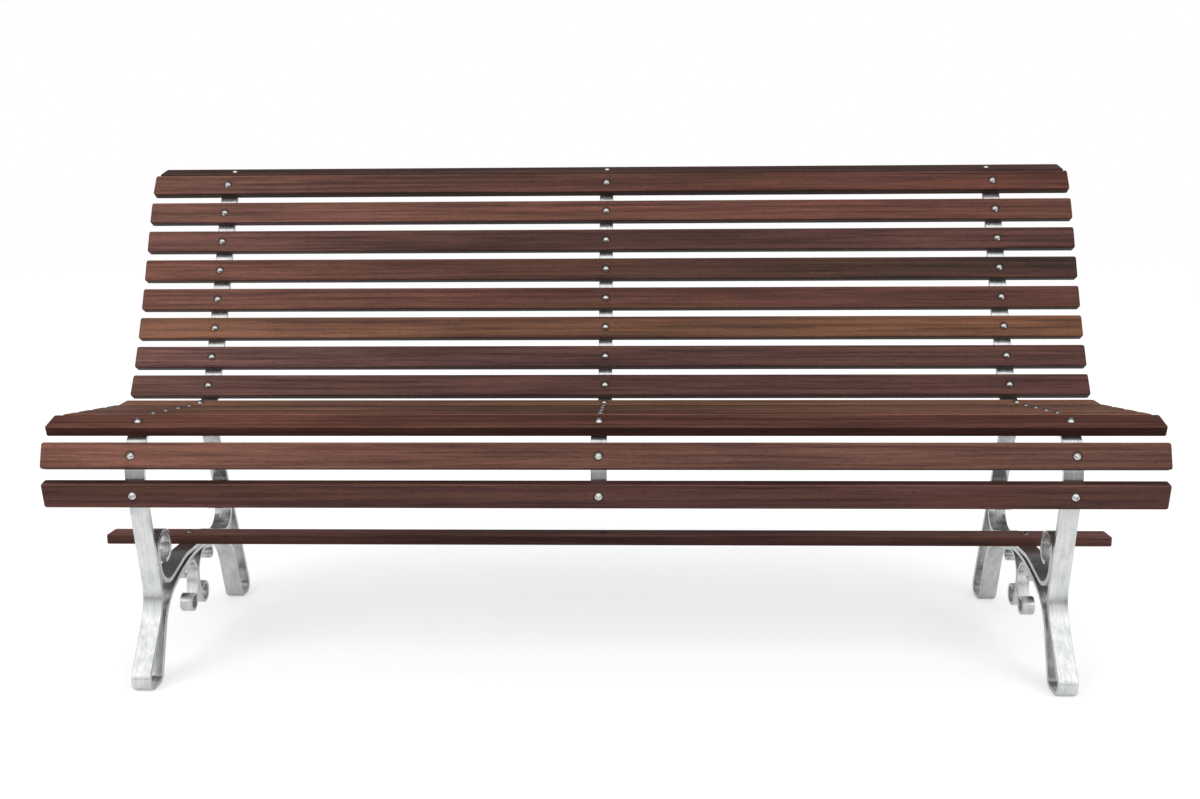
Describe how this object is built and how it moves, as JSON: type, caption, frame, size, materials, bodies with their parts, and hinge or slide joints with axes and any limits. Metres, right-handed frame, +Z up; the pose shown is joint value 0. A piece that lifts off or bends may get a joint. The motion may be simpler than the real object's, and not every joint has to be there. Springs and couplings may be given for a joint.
{
  "type": "park bench",
  "caption": "Slatted park bench with a reclined back, bent flat-bar side frames with scrolls under the seat, and wooden slats held by domed bolts.",
  "frame": {"origin": "on the ground, under the middle of the bench", "axes": "+X along the bench, to the right as seen from the front; -Y is the front; +Z is up"},
  "size_m": [1.8, 0.6954, 0.8517],
  "materials": {
    "wood": "dark reddish-brown oiled hardwood, satin, with fine grain along each slat",
    "steel": "hot-dip galvanised steel flat bar, light cool grey with a faint mottle",
    "fastener": "stainless steel domed socket bolts, washers and hexagon nuts"
  },
  "bodies": {
    "root": {"front_slat_lower": "wood", "front_slat_upper": "wood", "seat_slat_1": "wood", "seat_slat_2": "wood", "seat_slat_3": "wood", "seat_slat_4": "wood", "seat_slat_5": "wood", "seat_slat_6": "wood", "back_slat_1": "wood", "back_slat_2": "wood", "back_slat_3": "wood", "back_slat_4": "wood", "back_slat_5": "wood", "back_slat_6": "wood", "back_slat_7": "wood", "back_slat_8": "wood", "top_slat": "wood", "stretcher_slat": "wood", "centre_strap": "steel", "main_bar_left": "steel", "main_bar_right": "steel", "rear_leg_left": "steel", "rear_leg_right": "steel", "arch_bar_left": "steel", "arch_bar_right": "steel", "scroll_brace_left": "steel", "scroll_brace_right": "steel", "front_scroll_left": "steel", "front_scroll_right": "steel", "rear_scroll_left": "steel", "rear_scroll_right": "steel", "bolts_left": "fastener", "bolts_centre": "fastener", "bolts_right": "fastener", "washers_left": "fastener", "washers_centre": "fastener", "washers_right": "fastener", "nuts_left": "fastener", "nuts_centre": "fastener", "nuts_right": "fastener"}
  },
  "joints": []
}
